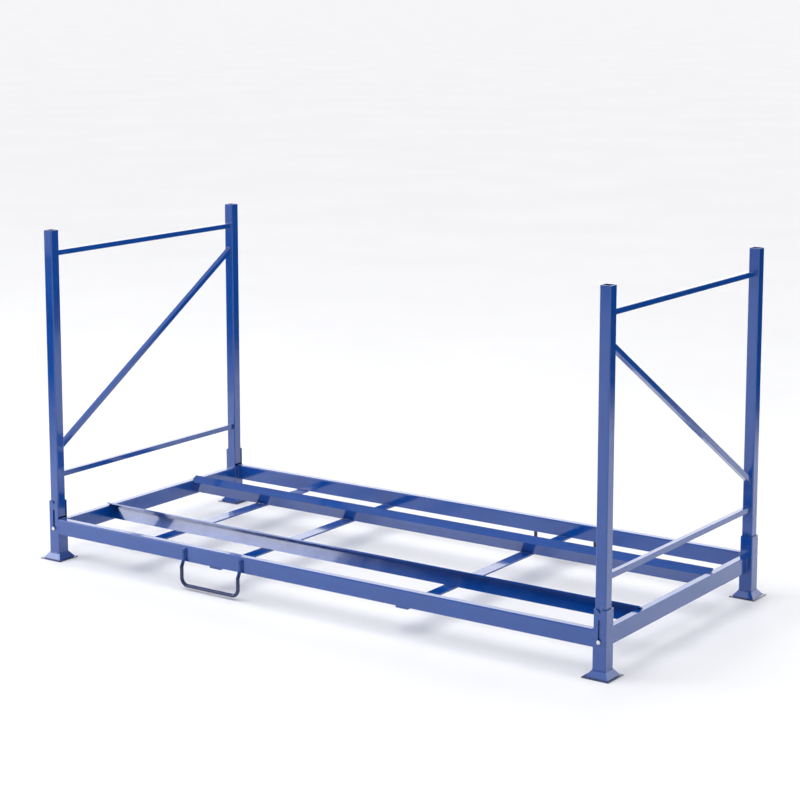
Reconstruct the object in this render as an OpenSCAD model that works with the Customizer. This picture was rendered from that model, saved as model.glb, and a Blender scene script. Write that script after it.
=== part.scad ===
// Stackable tyre storage rack: a welded floor frame with two tilted cradle rails for upright
// truck tyres, two fork loops, and two end frames that lift out of their sockets and fold
// down flat on the floor frame.
//
// Origin: middle of the footprint, on the floor. X runs along the rack, Y across it, Z up.
// The rack is drawn with both end frames standing.

/* [Overall] */
// Distance between the post axes along the rack
post_span_x = 2400; // [1600:10:3000]
// Distance between the post axes across the rack
post_span_y = 1065; // [800:5:1400]
// Height of the post tops above the floor
rack_h = 1275; // [900:5:1800]

/* [Floor frame] */
// Height of the rectangular rail section
rail_h = 60; // [40:1:100]
// Thickness of the rectangular rail section
rail_t = 30; // [20:1:50]
// Wall of the rail section
rail_wall = 2.5; // [1.5:0.5:5]
// Top of the two long rails above the floor
side_rail_top = 160; // [120:1:220]
// Top of the two end rails above the floor
end_rail_top = 153; // [110:1:220]

/* [Tyre cradle] */
// Width of the sloped flange the tyres rest on
cradle_flange = 42; // [30:1:80]
// Length of the leg that stands on the straps
cradle_leg = 52; // [30:1:80]
// Thickness of the cradle angle section
angle_t = 5; // [3:0.5:8]
// Slope of the bearing flange towards the middle of the rack, in degrees
cradle_tilt = 28; // [0:1:40]
// Distance of the inner cradle edge from the centreline
cradle_y = 232; // [150:0.5:350]
// Half length of the cradle flange, resting on the end rails
cradle_half = 1190; // [800:1:1500]

/* [Cross straps] */
// Width of the flat straps that tie the rails together
strap_w = 50; // [30:1:80]
// Thickness of the straps
strap_t = 6; // [3:0.5:10]
// Position along the rack of the strap near the left end
strap_left_x = -832; // [-1100:1:-500]
// Position along the rack of the strap left of the middle
strap_mid_left_x = -398; // [-600:1:-100]
// Position along the rack of the strap right of the middle
strap_mid_right_x = 428; // [100:1:600]

/* [Corner sockets and feet] */
// Outside width of the square socket tube
socket_w = 50; // [44:0.5:70]
// Wall of the socket tube
socket_wall = 3; // [2:0.5:5]
// Top of the sockets above the floor
socket_top = 228; // [190:1:300]
// Width of the foot flange
foot_w = 100; // [80:1:140]
// Thickness of the foot flange
foot_t = 4; // [2:0.5:8]
// Width of the V notch in the socket rim, above the bolt slot
notch_w = 18; // [6:1:24]
// Depth of the V notch
notch_h = 11; // [4:1:16]
// Height of the flared foot, up to the socket tube
foot_h = 25; // [15:1:40]
// Width of the flare where it meets the flange
flare_w = 83; // [60:1:110]
// Depth of the cup that takes the post top of a rack below
stack_depth = 58; // [40:1:80]

/* [End frames] */
// Outside width of the square post tube
post_w = 40; // [30:0.5:60]
// Wall of the post tube
post_wall = 3; // [2:0.5:5]
// Width of the square bar between the posts
bar_w = 20; // [12:1:40]
// Height of the top bar axis above the floor
top_bar_z = 1186; // [900:1:1250]
// Height of the lower bar axis above the floor
lower_bar_z = 328; // [250:1:500]
// Height of the brace axis at the post where it starts low
brace_low_z = 437; // [350:1:600]
// Height of the brace axis at the post where it ends high
brace_high_z = 1083; // [800:1:1150]

/* [Pivot bolts] */
// Height of the bolt axis with the end frame standing
pin_z = 122; // [100:1:150]
// Distance the bolt climbs in its slot
lift = 68; // [30:1:100]
// Diameter of the bolt shank
bolt_d = 8; // [6:1:16]
// Radial running gap of the post on the bolt
bore_gap = 0.05; // [0.01:0.01:0.1]
// Gap on each side of the bolt in its slot
slot_gap = 0.8; // [0.3:0.05:1.5]
// Width across the flats of the bolt head and nut
hex_af = 13; // [10:1:24]

/* [Fork loops] */
// Diameter of the round bar
loop_d = 14; // [8:1:20]
// Distance of the loop middle from the middle of the rack
loop_x = 408; // [200:1:700]
// Distance between the two leg axes
loop_w = 265; // [150:1:400]
// Height of the bottom bar axis above the floor
loop_low_z = 16; // [10:1:60]
// Height of the leg ends, on the face of the rail
loop_top_z = 147; // [120:1:160]
// Bend radius of the bar axis
loop_r = 28; // [15:1:60]
// Distance the bar steps outwards below the rail
step_out = 11; // [4:1:25]
// Height where the step begins
step_z = 108; // [100:1:125]
// Height over which the bar steps outwards
step_h = 24; // [10:1:40]

/* [Hidden] */
$fn = 48;
eps = 0.05;
post_x = post_span_x / 2;
post_y = post_span_y / 2;
post_in = post_w - 2 * post_wall;
socket_in = socket_w - 2 * socket_wall;
corner_r = 4;
socket_face = post_y + socket_w / 2;
socket_inner_x = post_x - socket_w / 2;
side_rail_y = socket_face - rail_t / 2;
rail_base = side_rail_top - rail_h;
end_rail_len = post_span_y - socket_w;
bar_len = post_span_y - post_w;
cradle_z = rail_base + cradle_leg * cos(cradle_tilt);
stop_t = 4;
head_gap = 0.5;
head_t = 5.5;
nut_t = 6.5;
nut_gap = 0.4;

// ---- Shared shapes ----

// Square outline with true round corners.
module round_square(w, d, r) {
  square([w - 2 * r, d], center = true);
  square([w, d - 2 * r], center = true);
  for (sx = [-1, 1], sy = [-1, 1])
    translate([sx * (w / 2 - r), sy * (d / 2 - r)]) circle(r);
}

// Tube outline of outside w by d.
module tube_outline(w, d, wall, r) {
  difference() {
    round_square(w, d, r);
    round_square(w - 2 * wall, d - 2 * wall, max(r - wall, 0.8));
  }
}

// Four-sided frustum standing on z = 0, w0 wide below and w1 wide above.
module frustum(w0, w1, h) {
  intersection_for (turn = [0, 90])
    rotate([0, 0, turn]) rotate([90, 0, 0])
      linear_extrude(w0 + 2, center = true)
        polygon([[-w0 / 2, 0], [w0 / 2, 0], [w1 / 2, h], [-w1 / 2, h]]);
}

// Places a child drawn for the left front corner at any corner:
// sx, sy = -1 for left / front, 1 for right / back.
module at_corner(sx, sy) {
  scale_x = sx < 0 ? 0 : 1;
  scale_y = sy < 0 ? 0 : 1;
  mirror([scale_x, 0, 0]) mirror([0, scale_y, 0])
    translate([-post_x, -post_y, 0]) children();
}

// Child drawn for the left side, turned half round about Z for the right side.
module on_side(right) {
  rotate([0, 0, right ? 180 : 0]) children();
}

module blue() { color([0.08, 0.22, 0.52]) children(); }
module zinc() { color([0.75, 0.76, 0.78]) children(); }

// ---- Floor frame ----

module side_rail() {
  translate([0, -side_rail_y, side_rail_top - rail_h / 2])
    rotate([90, 0, 90])
      linear_extrude(2 * socket_inner_x, center = true)
        tube_outline(rail_t, rail_h, rail_wall, corner_r);
}

module end_rail() {
  translate([-socket_inner_x - rail_t / 2, 0, end_rail_top - rail_h / 2])
    rotate([90, 0, 0])
      linear_extrude(end_rail_len, center = true)
        tube_outline(rail_t, rail_h, rail_wall, corner_r);
}

module end_rail_envelope() {
  translate([-socket_inner_x - rail_t, -end_rail_len / 2, end_rail_top - rail_h])
    cube([rail_t, end_rail_len, rail_h]);
}

// Angle section: corner at the origin, flange along +x, leg hanging down, tilted as a whole.
module angle_outline() {
  rotate(cradle_tilt) {
    translate([0, -angle_t]) square([cradle_flange, angle_t]);
    translate([0, -cradle_leg]) square([angle_t, cradle_leg]);
  }
}

// Bearing rail for the tyres; its ends are coped over the end rails.
module cradle_rail() {
  difference() {
    rotate([90, 0, 90])
      linear_extrude(2 * cradle_half, center = true)
        translate([cradle_y, cradle_z]) angle_outline();
    for (right = [false, true]) on_side(right) end_rail_envelope();
  }
}

module strap(x, half_len) {
  translate([x - strap_w / 2, -half_len, rail_base - strap_t])
    cube([strap_w, 2 * half_len, strap_t]);
}

// One leg of the loop: upright on the rail face, slanted outwards below it, upright again.
// A ball a little wider than the bar fills each bend.
module loop_leg(low_z) {
  step_low = step_z - step_h;
  ball_d = loop_d + 0.4;
  translate([0, 0, step_z]) cylinder(h = loop_top_z - step_z, d = loop_d);
  translate([0, 0, step_z]) sphere(d = ball_d);
  translate([0, -step_out, step_low]) rotate([-atan(step_out / step_h), 0, 0])
    cylinder(h = norm([step_out, step_h]), d = loop_d);
  translate([0, -step_out, step_low]) sphere(d = ball_d);
  translate([0, -step_out, low_z]) cylinder(h = step_low - low_z, d = loop_d);
}

// Round bar bent to a U, its leg ends welded to the outer face of the front rail.
// The legs step outwards where they leave the rail.
module fork_loop() {
  leg_x = loop_w / 2;
  bend_z = loop_low_z + loop_r;
  translate([-loop_x, -socket_face - loop_d / 2, 0]) {
    for (side = [-1, 1]) {
      translate([side * leg_x, 0, 0]) loop_leg(bend_z);
      translate([side * (leg_x - loop_r), -step_out, bend_z])
        rotate([90, 0, 0]) rotate([0, 0, side < 0 ? 180 : 270])
          rotate_extrude(angle = 90) translate([loop_r, 0]) circle(d = loop_d);
    }
    translate([-leg_x + loop_r, -step_out, loop_low_z])
      rotate([0, 90, 0]) cylinder(h = loop_w - 2 * loop_r, d = loop_d);
  }
}

// ---- Corner sockets and feet (drawn on the post axis, -x out of the rack, -y outside) ----

// Slot for the pivot bolt through the outer long face.
module bolt_slot() {
  slot_r = bolt_d / 2 + slot_gap;
  rotate([90, 0, 0]) linear_extrude(socket_w / 2 + 1) {
    for (z = [pin_z, pin_z + lift]) translate([0, z]) circle(slot_r);
    translate([-slot_r, pin_z]) square([2 * slot_r, lift]);
  }
}

// Square tube, open towards the rack middle above the rail so the post can swing in,
// with a V notch in the rim above the bolt slot.
module socket() {
  difference() {
    translate([0, 0, foot_h])
      linear_extrude(socket_top - foot_h) tube_outline(socket_w, socket_w, socket_wall, corner_r);
    bolt_slot();
    translate([socket_in / 2 - 1, -socket_w, side_rail_top])
      cube([socket_w, 2 * socket_w, socket_top]);
    translate([0, 0, socket_top]) rotate([90, 0, 0]) linear_extrude(socket_w)
      polygon([[-notch_w / 2, eps], [0, -notch_h], [notch_w / 2, eps]]);
  }
}

// Pressed foot: flat flange and a flare up to the socket, open underneath.
module foot() {
  cup_w = flare_w - 2 * foot_t;
  difference() {
    union() {
      translate([-foot_w / 2, -foot_w / 2, 0]) cube([foot_w, foot_w, foot_t]);
      translate([0, 0, foot_t]) frustum(flare_w, socket_w, foot_h - foot_t);
    }
    translate([0, 0, -eps]) frustum(cup_w, socket_in, foot_h - foot_t);
    translate([-socket_in / 2, -socket_in / 2, -eps]) cube([socket_in, socket_in, foot_h + 1]);
  }
}

// Plate across the socket that lands on the post top of a rack below.
module stack_stop() {
  w = socket_in - 0.2;
  translate([0, 0, stack_depth]) linear_extrude(stop_t) round_square(w, w, 1);
}

// ---- End frames ----

// Clearance cut in the rack-side of a post, passing the rim of the socket as the post swings.
module swing_relief() {
  translate([0, post_w, pin_z]) rotate([90, 0, 0])
    linear_extrude(2 * post_w)
      polygon([[post_w / 2 + 1, 46], [8.5, 32], [8.5, 21], [post_w / 2 + 1, 5]]);
}

// Everything above the bolt axis plus a half round below it, in side view.
module swing_profile() {
  rotate([90, 0, 0]) linear_extrude(2 * post_w, center = true) {
    translate([0, pin_z]) circle(d = post_w);
    translate([-post_w / 2, pin_z]) square([post_w, rack_h - pin_z]);
  }
}

module post() {
  difference() {
    intersection() {
      translate([0, 0, pin_z - post_w])
        linear_extrude(rack_h - pin_z + post_w) tube_outline(post_w, post_w, post_wall, corner_r);
      swing_profile();
    }
    translate([0, 0, pin_z]) rotate([90, 0, 0]) cylinder(h = post_w, r = bolt_d / 2 + bore_gap);
    swing_relief();
  }
}

module cross_bar(z) {
  translate([-post_x, 0, z]) rotate([90, 0, 0])
    linear_extrude(bar_len, center = true) tube_outline(bar_w, bar_w, 2, 2);
}

// Diagonal bar, low at the front post and high at the back post, trimmed to the posts.
module brace() {
  rise = brace_high_z - brace_low_z;
  pitch = atan2(rise, bar_len);
  intersection() {
    translate([-post_x, 0, (brace_high_z + brace_low_z) / 2]) rotate([pitch - 90, 0, 0])
      linear_extrude(bar_len / cos(pitch) + 3 * bar_w, center = true)
        tube_outline(bar_w, bar_w, 2, 2);
    translate([-post_x - bar_w, -bar_len / 2, 0]) cube([2 * bar_w, bar_len, rack_h]);
  }
}

// ---- Pivot bolts ----

// Hexagon head outside the socket, shank through the slot and the wall of the post.
module bolt() {
  seat = socket_w / 2 + head_gap;
  translate([0, 0, pin_z]) rotate([90, 0, 0]) {
    translate([0, 0, seat]) cylinder(h = head_t, d = hex_af / cos(30), $fn = 6);
    cylinder(h = seat, d = bolt_d);
  }
}

// Hexagon nut behind the post wall, threaded on the shank.
module nut() {
  face = post_in / 2 - nut_gap;
  translate([0, 0, pin_z]) rotate([90, 0, 0]) translate([0, 0, face - nut_t])
    difference() {
      cylinder(h = nut_t, d = hex_af / cos(30), $fn = 6);
      translate([0, 0, -1]) cylinder(h = nut_t + 2, d = bolt_d);
    }
}

// The same hardware at the front and the back corner of one end.
module both_corners(sx) {
  for (sy = [-1, 1]) at_corner(sx, sy) children();
}

// ---- Parts ----

module front_rail() { blue() side_rail(); }
module back_rail() { blue() on_side(true) side_rail(); }
module left_end_rail() { blue() end_rail(); }
module right_end_rail() { blue() on_side(true) end_rail(); }
module front_cradle_rail() { blue() mirror([0, 1, 0]) cradle_rail(); }
module back_cradle_rail() { blue() cradle_rail(); }
module left_strap() { blue() strap(strap_left_x, socket_face - 17.5); }
module mid_left_strap() { blue() strap(strap_mid_left_x, socket_face - 2); }
module mid_right_strap() { blue() strap(strap_mid_right_x, socket_face - 2); }
module socket_front_left() { blue() at_corner(-1, -1) socket(); }
module socket_front_right() { blue() at_corner(1, -1) socket(); }
module socket_back_left() { blue() at_corner(-1, 1) socket(); }
module socket_back_right() { blue() at_corner(1, 1) socket(); }
module foot_front_left() { blue() at_corner(-1, -1) foot(); }
module foot_front_right() { blue() at_corner(1, -1) foot(); }
module foot_back_left() { blue() at_corner(-1, 1) foot(); }
module foot_back_right() { blue() at_corner(1, 1) foot(); }
module stack_stops() { blue() for (sx = [-1, 1]) both_corners(sx) stack_stop(); }
module front_fork_loop() { blue() fork_loop(); }
module back_fork_loop() { blue() on_side(true) fork_loop(); }
module left_front_post() { blue() at_corner(-1, -1) post(); }
module left_back_post() { blue() at_corner(-1, 1) post(); }
module left_top_bar() { blue() cross_bar(top_bar_z); }
module left_lower_bar() { blue() cross_bar(lower_bar_z); }
module left_brace() { blue() brace(); }
module right_front_post() { blue() at_corner(1, -1) post(); }
module right_back_post() { blue() at_corner(1, 1) post(); }
module right_top_bar() { blue() on_side(true) cross_bar(top_bar_z); }
module right_lower_bar() { blue() on_side(true) cross_bar(lower_bar_z); }
module right_brace() { blue() on_side(true) brace(); }
module left_pivot_bolts() { zinc() both_corners(-1) bolt(); }
module left_pivot_nuts() { zinc() both_corners(-1) nut(); }
module right_pivot_bolts() { zinc() both_corners(1) bolt(); }
module right_pivot_nuts() { zinc() both_corners(1) nut(); }

front_rail();
back_rail();
left_end_rail();
right_end_rail();
front_cradle_rail();
back_cradle_rail();
left_strap();
mid_left_strap();
mid_right_strap();
socket_front_left();
socket_front_right();
socket_back_left();
socket_back_right();
foot_front_left();
foot_front_right();
foot_back_left();
foot_back_right();
stack_stops();
front_fork_loop();
back_fork_loop();
left_front_post();
left_back_post();
left_top_bar();
left_lower_bar();
left_brace();
right_front_post();
right_back_post();
right_top_bar();
right_lower_bar();
right_brace();
left_pivot_bolts();
left_pivot_nuts();
right_pivot_bolts();
right_pivot_nuts();
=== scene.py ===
"""Looks for the stackable tyre storage rack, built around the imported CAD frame."""

import math
import random

import bpy
from mathutils import Matrix, Vector


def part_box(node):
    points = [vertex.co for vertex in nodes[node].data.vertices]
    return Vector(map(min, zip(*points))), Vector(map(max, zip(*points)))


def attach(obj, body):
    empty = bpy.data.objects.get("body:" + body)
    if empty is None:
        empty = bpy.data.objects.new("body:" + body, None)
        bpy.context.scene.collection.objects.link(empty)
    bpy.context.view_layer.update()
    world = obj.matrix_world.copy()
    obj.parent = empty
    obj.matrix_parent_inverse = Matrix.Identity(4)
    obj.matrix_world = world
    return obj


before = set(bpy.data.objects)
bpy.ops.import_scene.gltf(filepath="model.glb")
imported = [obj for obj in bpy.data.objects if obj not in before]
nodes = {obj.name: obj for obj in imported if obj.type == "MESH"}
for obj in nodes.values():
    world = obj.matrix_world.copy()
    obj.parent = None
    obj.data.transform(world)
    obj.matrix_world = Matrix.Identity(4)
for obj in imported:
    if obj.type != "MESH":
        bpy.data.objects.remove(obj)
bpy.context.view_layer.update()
random.seed(7)


def v3(p):
    return Vector((float(p[0]), float(p[1]), float(p[2])))


# ---- Sizes in metres: boxes read from the frame, and section sizes that a box can't tell ----

RAIL_LO, RAIL_HI = map(v3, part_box("front_rail"))
END_LO, END_HI = map(v3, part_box("left_end_rail"))
SOCKET_LO, SOCKET_HI = map(v3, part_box("socket_front_left"))
LOOP_LO, LOOP_HI = map(v3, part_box("front_fork_loop"))
CRADLE_LO, CRADLE_HI = map(v3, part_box("back_cradle_rail"))

CRADLE_TILT = math.radians(28.0)
CRADLE_LEG = 0.052
CRADLE_T = 0.005
LOOP_ROD = 0.014
BRACE_RISE = 0.646

# ---- Node materials ----


class Nodes:
    """Short helper for building a node tree."""

    def __init__(self, name):
        self.mat = bpy.data.materials.new(name)
        self.mat.use_nodes = True
        self.tree = self.mat.node_tree
        self.bsdf = self.tree.nodes["Principled BSDF"]
        self.coord = self.add("ShaderNodeTexCoord").outputs["Object"]

    def add(self, kind, **values):
        node = self.tree.nodes.new(kind)
        for key, value in values.items():
            setattr(node, key, value)
        return node

    def link(self, a, b):
        self.tree.links.new(a, b)

    def constants(self, **values):
        """Set sockets of the surface shader; an underscore stands for a space."""
        for key, value in values.items():
            self.bsdf.inputs[key.replace("_", " ")].default_value = value

    def mapped(self, scale):
        node = self.add("ShaderNodeMapping")
        self.link(self.coord, node.inputs["Vector"])
        node.inputs["Scale"].default_value = scale
        return node.outputs["Vector"]

    def noise(self, scale, detail=3.0, rough=0.5, stretch=(1, 1, 1)):
        node = self.add("ShaderNodeTexNoise")
        self.link(self.mapped(stretch), node.inputs["Vector"])
        node.inputs["Scale"].default_value = scale
        node.inputs["Detail"].default_value = detail
        node.inputs["Roughness"].default_value = rough
        return node.outputs["Fac"]

    def ramp(self, fac, stops):
        node = self.add("ShaderNodeValToRGB")
        self.link(fac, node.inputs["Fac"])
        for element, (pos, colour) in zip(node.color_ramp.elements, stops):
            element.position = pos
            element.color = (*colour, 1)
        return node.outputs["Color"]

    def span(self, value, lo, hi, to_lo, to_hi):
        node = self.add("ShaderNodeMapRange")
        self.link(value, node.inputs["Value"])
        for key, number in (("From Min", lo), ("From Max", hi), ("To Min", to_lo), ("To Max", to_hi)):
            node.inputs[key].default_value = number
        return node.outputs["Result"]

    def math(self, op, a, b):
        node = self.add("ShaderNodeMath", operation=op)
        for socket, value in zip(node.inputs, (a, b)):
            if isinstance(value, (int, float)):
                socket.default_value = value
            else:
                self.link(value, socket)
        return node.outputs["Value"]

    def times(self, a, b):
        return self.math("MULTIPLY", a, b)

    def mix(self, fac, under, colour):
        """The colour laid over what is under it."""
        node = self.add("ShaderNodeMix", data_type="RGBA")
        self.link(fac, node.inputs["Factor"])
        self.link(under, node.inputs["A"])
        node.inputs["B"].default_value = (*colour, 1)
        return node.outputs["Result"]

    def axis(self, name):
        node = self.add("ShaderNodeSeparateXYZ")
        self.link(self.coord, node.inputs[0])
        return node.outputs[name]

    def bump(self, layers):
        """Chain of (height socket, distance in metres)."""
        last = None
        for height, distance in layers:
            node = self.add("ShaderNodeBump")
            node.inputs["Strength"].default_value = 1.0
            node.inputs["Distance"].default_value = distance
            self.link(height, node.inputs["Height"])
            if last is not None:
                self.link(last, node.inputs["Normal"])
            last = node.outputs["Normal"]
        self.link(last, self.bsdf.inputs["Normal"])


# ---- Blue stoving paint, its wear, and painted shade and dark reflection ----

BLUE = (0.0010, 0.066, 0.335)
BLUE_DEEP = (0.0008, 0.056, 0.295)
BLUE_RUBBED = (0.006, 0.070, 0.260)
BLUE_DRAWN = (0.0010, 0.042, 0.230)
BLUE_SCRATCHED = (0.06, 0.11, 0.26)
# Painted dark reflection: dark colour for the fork loops below the rail.
LOOP_PAINTED_DARK_REFLECTION = (0.003, 0.010, 0.050)
DUST = (0.10, 0.15, 0.30)
CHIPPED = (0.14, 0.14, 0.15)
# Painted shade: dark colour for the foot flange edges, standing in for contact shadow at the floor.
FLANGE_PAINTED_SHADE = (0.006, 0.010, 0.040)


class Paint(Nodes):
    """Glossy blue paint with orange peel, soft waviness and dust, to which wear and painted shade are added.
    """

    def __init__(self, name, coat=0.85):
        super().__init__(name)
        self.colour = self.ramp(self.noise(7.0, 4.0, 0.55), [(0.3, BLUE_DEEP), (0.7, BLUE)])
        speck = self.span(self.noise(420.0, 2.0, 0.6), 0.62, 0.72, 0.0, 0.18)
        patch = self.span(self.noise(9.0), 0.45, 0.7, 0.0, 1.0)
        self.colour = self.mix(self.times(speck, patch), self.colour, DUST)
        self.rough = self.span(self.noise(22.0, 5.0, 0.6), 0.3, 0.75, 0.10, 0.24)
        waviness = (self.noise(14.0, 2.0, 0.45), 0.0012)
        orange_peel = (self.noise(520.0, 2.0), 0.00006)
        self.layers = [waviness, orange_peel]
        self.constants(IOR=1.5, Coat_Weight=coat, Coat_Roughness=0.045, Coat_IOR=1.55)

    # Used for real wear and also for painted shade on the foot flanges and painted dark reflection on the
    # loops.
    def wear_and_painted_shade(self, mask, colour, strength=None, roughen=None):
        """Lay a colour over the paint where the mask is, and roughen the paint there."""
        fac = mask if strength is None else self.times(mask, strength)
        self.colour = self.mix(fac, self.colour, colour)
        if roughen is not None:
            self.rough = self.math("ADD", self.rough, self.times(mask, roughen))

    def finish(self):
        self.link(self.colour, self.bsdf.inputs["Base Color"])
        self.link(self.rough, self.bsdf.inputs["Roughness"])
        self.bump(self.layers)
        return self.mat


def cradle_paint(name):
    """Rubbed by tyres, over the long marks of the rolled angle."""
    paint = Paint(name)
    drawn = paint.noise(230.0, 4.0, 0.6, stretch=(0.008, 1.0, 1.0))
    rubbed = paint.span(paint.noise(16.0, 4.0, 0.6, stretch=(0.4, 1.0, 1.0)), 0.5, 0.72, 0.0, 0.4)
    paint.wear_and_painted_shade(rubbed, BLUE_RUBBED, roughen=0.15)
    paint.wear_and_painted_shade(paint.span(drawn, 0.40, 0.60, 0.0, 0.5), BLUE_DRAWN)
    paint.layers.insert(0, (drawn, 0.00022))
    return paint.finish()


def foot_paint(name):
    """Chipped low down, with painted shade darkening the flange edge."""
    paint = Paint(name)
    low = paint.span(paint.axis("Z"), 0.0015, 0.007, 1.0, 0.12)
    chips = paint.span(paint.noise(190.0, 4.0, 0.65), 0.56, 0.64, 0.0, 1.0)
    paint.wear_and_painted_shade(paint.times(low, chips), CHIPPED, roughen=0.4)
    # Painted shade: the flange edge up to 6 mm is darkened in patches, as a contact shadow.
    flange = paint.span(paint.axis("Z"), 0.0042, 0.0060, 0.85, 0.0)
    patches = paint.span(paint.noise(75.0, 4.0, 0.6), 0.3, 0.6, 0.7, 1.0)
    paint.wear_and_painted_shade(paint.times(flange, patches), FLANGE_PAINTED_SHADE)
    return paint.finish()


def post_paint(name):
    """Scratched in upright lines where the post leaves the socket rim."""
    paint = Paint(name)
    lo, hi = SOCKET_HI.z - 0.002, SOCKET_HI.z + 0.006
    band = paint.times(paint.span(paint.axis("Z"), lo - 0.01, lo, 0.0, 1.0),
                       paint.span(paint.axis("Z"), hi, hi + 0.012, 1.0, 0.0))
    lines = paint.span(paint.noise(300.0, 2.0, stretch=(1.0, 1.0, 0.06)), 0.55, 0.68, 0.0, 1.0)
    paint.wear_and_painted_shade(paint.times(band, lines), BLUE_SCRATCHED, strength=0.22, roughen=0.25)
    return paint.finish()


def loop_paint(name):
    """Thinner coat all over, and darkened in patches below the rail as a painted dark reflection."""
    paint = Paint(name, coat=0.3)
    # Painted dark reflection: the loop below the rail is darkened in patches.
    below_rail = paint.span(paint.axis("Z"), RAIL_LO.z - 0.010, RAIL_LO.z + 0.012, 1.0, 0.1)
    patches = paint.span(paint.noise(60.0, 4.0, 0.6), 0.3, 0.7, 0.75, 0.95)
    paint.wear_and_painted_shade(paint.times(below_rail, patches), LOOP_PAINTED_DARK_REFLECTION)
    return paint.finish()


# ---- Other materials ----


def zinc_material(name):
    """Bright zinc plating with faint blue passivation and fine scratches."""
    n = Nodes(name)
    colour = n.ramp(n.noise(90.0, 4.0, 0.6), [(0.3, (0.64, 0.66, 0.70)), (0.7, (0.86, 0.87, 0.88))])
    n.link(colour, n.bsdf.inputs["Base Color"])
    n.link(n.span(n.noise(700.0), 0.3, 0.7, 0.18, 0.38), n.bsdf.inputs["Roughness"])
    n.constants(Metallic=1.0)
    n.bump([(n.noise(900.0, 3.0, 0.6), 0.00005), (n.noise(200.0, 2.0), 0.00012)])
    return n.mat


def floor_material(name):
    """Pale, slightly uneven studio floor."""
    n = Nodes(name)
    colour = n.ramp(n.noise(0.8, 4.0), [(0.3, (0.875, 0.875, 0.885)), (0.7, (0.905, 0.905, 0.91))])
    n.link(colour, n.bsdf.inputs["Base Color"])
    n.link(n.span(n.noise(5.0, 4.0), 0.3, 0.7, 0.5, 0.62), n.bsdf.inputs["Roughness"])
    n.bump([(n.noise(260.0, 2.0), 0.0002)])
    return n.mat


def flag_material(name, axis, start, full):
    """Dark from above, fading in along an axis from start to full, and clear from below."""
    n = Nodes(name)
    fade = n.span(n.axis(axis), start, full, 0.0, 1.0)
    underside = n.add("ShaderNodeNewGeometry").outputs["Backfacing"]
    dark = n.add("ShaderNodeEmission")
    dark.inputs["Color"].default_value = (0.010, 0.014, 0.030, 1)
    mix = n.add("ShaderNodeMixShader")
    n.link(n.times(fade, n.math("SUBTRACT", 1.0, underside)), mix.inputs[0])
    n.link(n.add("ShaderNodeBsdfTransparent").outputs[0], mix.inputs[1])
    n.link(dark.outputs[0], mix.inputs[2])
    n.link(mix.outputs[0], n.tree.nodes["Material Output"].inputs["Surface"])
    n.tree.nodes.remove(n.bsdf)
    return n.mat


PAINT = Paint("blue_gloss_paint").finish()
PAINT_CRADLE = cradle_paint("blue_gloss_paint_cradle")
PAINT_FOOT = foot_paint("blue_gloss_paint_foot")
PAINT_POST = post_paint("blue_gloss_paint_post")
PAINT_LOOP = loop_paint("blue_gloss_paint_loop")
ZINC = zinc_material("bright_zinc")

# ---- Materials and rounded edges on the CAD nodes ----

MATERIALS = {"pivot": ZINC, "cradle": PAINT_CRADLE, "foot": PAINT_FOOT,
             "_post": PAINT_POST, "_loop": PAINT_LOOP}
BEVELS = {"strap": 0.0008, "cradle": 0.0011, "foot": 0.0012, "pivot": 0.0011}


def add_bevel(obj, width, segments=2, angle=35):
    mod = obj.modifiers.new("edge_round", "BEVEL")
    mod.width = width
    mod.segments = segments
    mod.limit_method = "ANGLE"
    mod.angle_limit = math.radians(angle)
    mod.harden_normals = False


for name, obj in nodes.items():
    material = next((mat for key, mat in MATERIALS.items() if key in name), PAINT)
    obj.data.materials.clear()
    obj.data.materials.append(material)
    for key, width in BEVELS.items():
        if key in name:
            add_bevel(obj, width)

# ---- Weld beads ----

BAR_BEAD = 0.0022
FOOT_BEAD = 0.0022
RAIL_BEAD = 0.0024
GROOVE_BEAD = 0.0026
STRAP_BEAD = 0.0023
CRADLE_LEG_BEAD = 0.0022
CRADLE_COPE_BEAD = 0.0019
CRADLE_EDGE_BEAD = 0.0017
LOOP_BEAD = 0.0026

TUBE_ROUND = 0.003
PROUD = 0.0003


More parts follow.
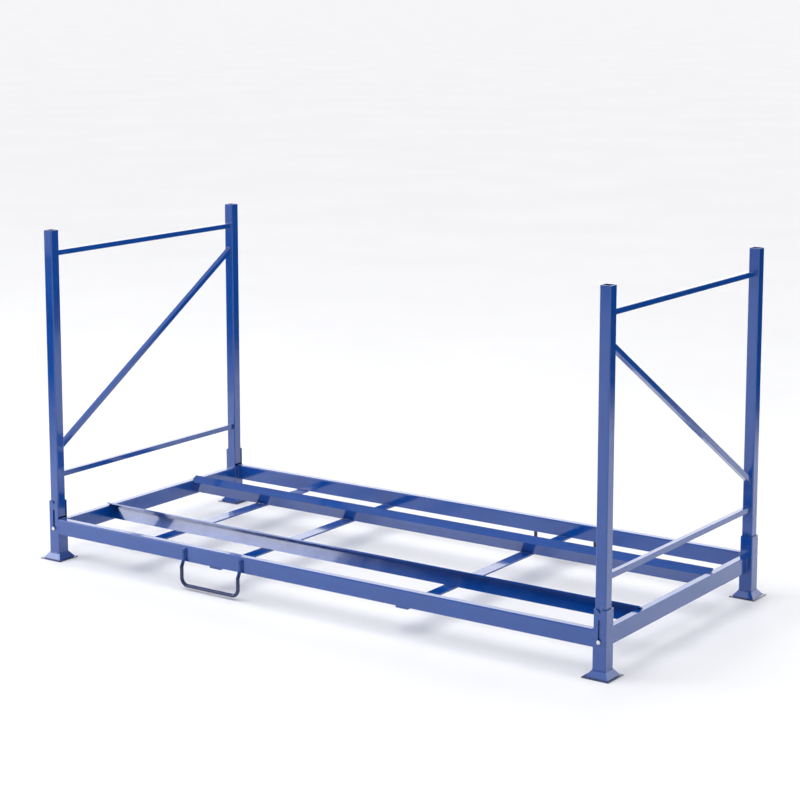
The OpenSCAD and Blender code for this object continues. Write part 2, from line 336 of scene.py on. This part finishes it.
class BeadMesh:
    """Collects rippled weld beads into one mesh object."""

    SIDES = 8
    STEP = 0.0022
    RIPPLE = 0.10
    RIPPLE_ANGLE = 2.1
    UNEVEN = 0.05
    END_TAPER = 0.35
    NEXT_TAPER = 0.8
    OFF_AXIS = Vector((0.31, 0.52, 0.79))

    def __init__(self):
        self.verts, self.faces = [], []

    def run(self, points, radius, closed=False):
        """A bead of the given radius centred on a polyline."""
        pts = [v3(p) for p in points]
        if closed:
            pts.append(pts[0].copy())
        path = []
        for a, b in zip(pts, pts[1:]):
            count = max(2, int((b - a).length / self.STEP))
            path += [a.lerp(b, i / count) for i in range(count)]
        if not closed:
            path.append(pts[-1])
        start = len(self.verts)
        total = len(path)
        phase = random.uniform(0, 6.28)
        for i, p in enumerate(path):
            ahead = path[(i + 1) % total] if closed else path[min(i + 1, total - 1)]
            behind = path[i - 1] if (closed or i > 0) else path[0]
            r = radius * self.swell(i, total, phase, closed)
            self.ring(p, (ahead - behind).normalized(), r)
        rings = total if closed else total - 1
        for i in range(rings):
            j = (i + 1) % total
            for k in range(self.SIDES):
                m = (k + 1) % self.SIDES
                self.faces.append((start + i * self.SIDES + k, start + i * self.SIDES + m,
                                   start + j * self.SIDES + m, start + j * self.SIDES + k))
        if not closed:
            self.faces.append(tuple(start + k for k in reversed(range(self.SIDES))))
            last = start + (total - 1) * self.SIDES
            self.faces.append(tuple(last + k for k in range(self.SIDES)))

    def swell(self, i, total, phase, closed):
        """Ripple of the bead at one ring, drawn in at the two ends of an open bead."""
        ripple = self.RIPPLE * math.sin(i * self.RIPPLE_ANGLE + phase)
        swell = 1 + ripple + random.uniform(-self.UNEVEN, self.UNEVEN)
        if not closed and i in (0, total - 1):
            swell *= self.END_TAPER
        elif not closed and i in (1, total - 2):
            swell *= self.NEXT_TAPER
        return swell

    def ring(self, centre, direction, r):
        side = direction.cross(self.OFF_AXIS).normalized()
        other = direction.cross(side)
        for k in range(self.SIDES):
            a = 2 * math.pi * k / self.SIDES
            self.verts.append(centre + side * (r * math.cos(a)) + other * (r * math.sin(a)))

    def build(self, name, body):
        mesh = bpy.data.meshes.new(name)
        mesh.from_pydata([tuple(v) for v in self.verts], [], self.faces)
        mesh.polygons.foreach_set("use_smooth", [True] * len(mesh.polygons))
        mesh.materials.append(PAINT)
        mesh.update()
        obj = bpy.data.objects.new(name, mesh)
        bpy.context.scene.collection.objects.link(obj)
        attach(obj, body)


def bead_end_frame(side):
    """Beads round every bar end where it meets the posts of one end frame."""
    beads = BeadMesh()
    outset, inset = 0.0004, 0.0006
    for bar in ("top_bar", "lower_bar", "brace"):
        lo, hi = map(v3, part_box(f"{side}_{bar}"))
        x0, x1 = lo.x - outset, hi.x + outset
        for end_y in (lo.y, hi.y):
            z0, z1 = lo.z, hi.z
            if bar == "brace":
                half = 0.5 * (hi.x - lo.x) / math.cos(math.atan2(BRACE_RISE, hi.y - lo.y))
                rises_back = (side == "left")
                low_end = (end_y < 0) == rises_back
                mid = lo.z + half if low_end else hi.z - half
                z0, z1 = mid - half, mid + half
            y = end_y + (-inset if end_y > 0 else inset)
            beads.run([(x0, y, z0), (x1, y, z0), (x1, y, z1), (x0, y, z1)], BAR_BEAD, closed=True)
    beads.build(f"welds_{side}_end_frame", f"{side}_end_frame")


def bead_corner(beads, mx, my):
    """Beads at one socket, laid out for the front left one and mirrored by mx and my."""
    def at(x, y, z):
        return (mx * x, my * y, z)

    # foot to socket, all round
    x0, x1, y0, y1 = SOCKET_LO.x, SOCKET_HI.x, SOCKET_LO.y, SOCKET_HI.y
    inset = TUBE_ROUND
    ring = [(x0 + inset, y0), (x1 - inset, y0), (x1, y0 + inset), (x1, y1 - inset),
            (x1 - inset, y1), (x0 + inset, y1), (x0, y1 - inset), (x0, y0 + inset)]
    beads.run([at(x, y, SOCKET_LO.z) for x, y in ring], FOOT_BEAD, closed=True)
    # long rail to socket: top, inner side and bottom, then the groove in the outer face
    seam = 0.0005
    x = RAIL_LO.x + seam
    outer_y = RAIL_LO.y + TUBE_ROUND
    beads.run([at(x, outer_y, RAIL_HI.z + PROUD), at(x, RAIL_HI.y, RAIL_HI.z + PROUD),
               at(x, RAIL_HI.y + PROUD, RAIL_LO.z), at(x, outer_y, RAIL_LO.z - PROUD)], RAIL_BEAD)
    groove_x, groove_y, groove_end = x - 0.0012, RAIL_LO.y + 0.0016, 0.001
    beads.run([at(groove_x, groove_y, RAIL_LO.z + groove_end),
               at(groove_x, groove_y, RAIL_HI.z - groove_end)], GROOVE_BEAD)
    # end rail to socket: top, outer side and bottom
    y = END_LO.y + seam
    inner_x, outer_x = END_HI.x - TUBE_ROUND, END_LO.x - PROUD
    beads.run([at(inner_x, y, END_HI.z + PROUD), at(outer_x, y, END_HI.z + PROUD),
               at(outer_x, y, END_LO.z - PROUD), at(inner_x, y, END_LO.z - PROUD)], RAIL_BEAD)


# Section of the back cradle rail: its upper corner, down along the leg, and across the wall.
KNEE = Vector((0, CRADLE_LO.y, CRADLE_LO.z + CRADLE_LEG * math.cos(CRADLE_TILT)))
ALONG = Vector((0, math.sin(CRADLE_TILT), -math.cos(CRADLE_TILT)))
ACROSS = Vector((0, math.cos(CRADLE_TILT), math.sin(CRADLE_TILT)))


def bead_straps(beads):
    """Straps to the long rails, and both sides of the cradle legs to the straps."""
    leg_end = KNEE + ALONG * CRADLE_LEG
    leg_sides = ((-0.0006, 0.0006), (0.0046, 0.0010))
    rail_inset, leg_inset = 0.003, 0.004
    lift = 0.0005
    for strap in ("left_strap", "mid_left_strap", "mid_right_strap"):
        lo, hi = map(v3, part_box(strap))
        for sy in (-1, 1):
            y, z = sy * (abs(RAIL_HI.y) - PROUD), hi.z + lift
            beads.run([(lo.x + rail_inset, y, z), (hi.x - rail_inset, y, z)], STRAP_BEAD)
            for dy, dz in leg_sides:
                y, z = sy * (leg_end.y + dy), hi.z + dz
                beads.run([(lo.x + leg_inset, y, z), (hi.x - leg_inset, y, z)], CRADLE_LEG_BEAD)


def bead_cradle_ends(beads):
    """Coped cradle ends: both sides of the leg and the flange edge, on the end rails."""
    top_gap, low_gap = 0.008, 0.002
    edge_gap = 0.003
    for sx in (-1, 1):
        for sy in (-1, 1):
            x = sx * (abs(END_HI.x) - 0.0004)
            for side in (Vector((0, 0, 0)), ACROSS * CRADLE_T):
                top = KNEE + side + ALONG * top_gap
                low = KNEE + side + ALONG * (CRADLE_LEG - low_gap)
                beads.run([(x, sy * top.y, top.z), (x, sy * low.y, low.z)], CRADLE_COPE_BEAD)
            edge_y = sy * (KNEE.y + (END_HI.z - KNEE.z) / math.tan(CRADLE_TILT))
            beads.run([(sx * (abs(END_HI.x) + edge_gap), edge_y, END_HI.z),
                       (sx * (abs(CRADLE_HI.x) - edge_gap), edge_y, END_HI.z)], CRADLE_EDGE_BEAD)


def bead_loops(beads):
    """Both sides and the top of every loop leg on the rail face."""
    side_x, top_x = 0.42 * LOOP_ROD, 0.4 * LOOP_ROD
    side_y, top_y = LOOP_HI.y - 0.0011, LOOP_HI.y - 0.0010
    z0, z1 = RAIL_LO.z + 0.010, LOOP_HI.z - 0.001
    for turn in (1, -1):
        for leg in (LOOP_LO.x + LOOP_ROD / 2, LOOP_HI.x - LOOP_ROD / 2):
            for dx in (-side_x, side_x):
                x, y = turn * (leg + dx), turn * side_y
                beads.run([(x, y, z0), (x, y, z1)], LOOP_BEAD)
            beads.run([(turn * (leg - top_x), turn * top_y, LOOP_HI.z),
                       (turn * (leg + top_x), turn * top_y, LOOP_HI.z)], LOOP_BEAD)


def bead_floor_frame():
    corners, rails, loops = BeadMesh(), BeadMesh(), BeadMesh()
    for mx in (1, -1):
        for my in (1, -1):
            bead_corner(corners, mx, my)
    bead_straps(rails)
    bead_cradle_ends(rails)
    bead_loops(loops)
    corners.build("welds_corners", "floor_frame")
    rails.build("welds_straps_cradles", "floor_frame")
    loops.build("welds_fork_loops", "floor_frame")


for frame_side in ("left", "right"):
    bead_end_frame(frame_side)
bead_floor_frame()

# ---- Floor and flags ----

FLOOR_HALF = 400.0
FLAG_Z = 0.004


def stage_quad(name, lo, hi, z, material):
    """Level rectangle between two corners, for the floor and the flags."""
    mesh = bpy.data.meshes.new(name)
    mesh.from_pydata([(lo[0], lo[1], z), (hi[0], lo[1], z), (hi[0], hi[1], z), (lo[0], hi[1], z)],
                     [], [(0, 1, 2, 3)])
    mesh.materials.append(material)
    quad = bpy.data.objects.new(name, mesh)
    bpy.context.scene.collection.objects.link(quad)
    return quad


def dark_flag(name, lo, hi, axis, start, full):
    """One-sided flag just above the floor, seen only in reflections."""
    flag = stage_quad(name, lo, hi, FLAG_Z, flag_material(name, axis, start, full))
    flag.visible_camera = False
    flag.visible_diffuse = False
    flag.visible_shadow = False


stage_quad("floor", (-FLOOR_HALF, -FLOOR_HALF), (FLOOR_HALF, FLOOR_HALF), 0, floor_material("pale_floor"))

# The paint mirrors a dark hall beyond the bright floor, behind the rack and to its front left.
dark_flag("back_flag", (-60.0, 2.6), (60.0, 80.0), "Y", start=2.6, full=3.6)
dark_flag("front_left_flag", (-7.3, -60.0), (-2.1, -1.2), "X", start=-2.1, full=-3.8)

# ---- World and lights ----

# Grey level by height, 0 straight down and 1 straight up, in front of the rack and behind it.
FRONT_LEVELS = [(0.0, 0.52), (0.2, 0.34), (0.40, 0.02), (0.655, 0.02), (0.70, 1.1), (0.90, 1.1), (0.95, 0.03)]
BACK_LEVELS = [(0.0, 0.8), (0.16, 1.8), (0.42, 1.4), (0.62, 0.05), (1.0, 0.03)]
COOL = 1.02


def grey_ramp(tree, value, stops):
    """Grey levels over a 0 to 1 value; levels above 1 are allowed."""
    node = tree.nodes.new("ShaderNodeValToRGB")
    tree.links.new(value, node.inputs["Fac"])
    elements = node.color_ramp.elements
    while len(elements) < len(stops):
        elements.new(0.5)
    for element, (pos, level) in zip(elements, stops):
        element.position = pos
        element.color = (level, level, level * COOL, 1)
    return node.outputs["Color"]


def studio_world():
    """Bright low wall behind the rack, dim front and dark ceiling."""
    world = bpy.data.worlds.new("studio")
    bpy.context.scene.world = world
    world.use_nodes = True
    tree = world.node_tree
    direction = tree.nodes.new("ShaderNodeTexCoord").outputs["Generated"]
    split = tree.nodes.new("ShaderNodeSeparateXYZ")
    tree.links.new(direction, split.inputs[0])
    behind = tree.nodes.new("ShaderNodeMapRange")
    behind.interpolation_type = "SMOOTHSTEP"
    tree.links.new(split.outputs["Y"], behind.inputs["Value"])
    behind.inputs["From Min"].default_value = -0.15
    behind.inputs["From Max"].default_value = 0.45
    mix = tree.nodes.new("ShaderNodeMix")
    mix.data_type = "RGBA"
    tree.links.new(behind.outputs["Result"], mix.inputs["Factor"])
    tree.links.new(grey_ramp(tree, split.outputs["Z"], FRONT_LEVELS), mix.inputs["A"])
    tree.links.new(grey_ramp(tree, split.outputs["Z"], BACK_LEVELS), mix.inputs["B"])
    tree.links.new(mix.outputs["Result"], tree.nodes["Background"].inputs["Color"])
    tree.nodes["Background"].inputs["Strength"].default_value = 1.0


def place_light(data, location, target, glossy):
    light = bpy.data.objects.new(data.name, data)
    light.location = location
    direction = Vector(target) - Vector(location)
    light.rotation_euler = direction.to_track_quat("-Z", "Y").to_euler()
    light.visible_glossy = glossy
    bpy.context.scene.collection.objects.link(light)


def area_light(name, location, target, size, power, glossy=True, tint=(1.0, 1.0, 1.0)):
    data = bpy.data.lights.new(name, "AREA")
    data.color = tint
    data.shape = "RECTANGLE"
    data.size, data.size_y = size
    data.energy = power
    place_light(data, location, target, glossy)


def sky_light(name, location, strength, spread):
    """Wide, even light from above, not seen in reflections."""
    data = bpy.data.lights.new(name, "SUN")
    data.energy = strength
    data.angle = math.radians(spread)
    place_light(data, location, (0, 0, 0), glossy=False)


studio_world()
sky_light("even_overhead", location=(-0.6, -0.9, 5.0), strength=1.62, spread=70)
area_light("pool_overhead", location=(0.2, -0.3, 4.6), target=(0.1, -0.1, 0),
           size=(5.0, 3.4), power=40, glossy=False)
area_light("front_left_softbox", location=(-6.4, -4.0, 2.95), target=(0, 0, 0.3),
           size=(4.6, 3.2), power=265, tint=(0.84, 0.87, 1.0))

# ---- Camera ----

CAMERA_AT = (4.3649, -6.1972, 2.2554)
CAMERA_YAW = -0.610
CAMERA_PITCH = 0.158
SENSOR_MM = 36.0
LENS_MM = 94.14
SHIFT_Y = -0.125


def add_camera():
    data = bpy.data.cameras.new("camera")
    data.sensor_width = SENSOR_MM
    data.lens = LENS_MM
    data.shift_y = SHIFT_Y
    data.dof.use_dof = False
    camera = bpy.data.objects.new("camera", data)
    camera.location = CAMERA_AT
    forward = Vector((math.sin(CAMERA_YAW) * math.cos(CAMERA_PITCH),
                      math.cos(CAMERA_YAW) * math.cos(CAMERA_PITCH), -math.sin(CAMERA_PITCH)))
    right = Vector((math.cos(CAMERA_YAW), -math.sin(CAMERA_YAW), 0))
    up = right.cross(forward)
    camera.rotation_mode = "QUATERNION"
    camera.rotation_quaternion = Matrix((right, up, -forward)).transposed().to_quaternion()
    bpy.context.scene.collection.objects.link(camera)
    bpy.context.scene.camera = camera


add_camera()
bpy.context.scene.view_settings.view_transform = "Standard"
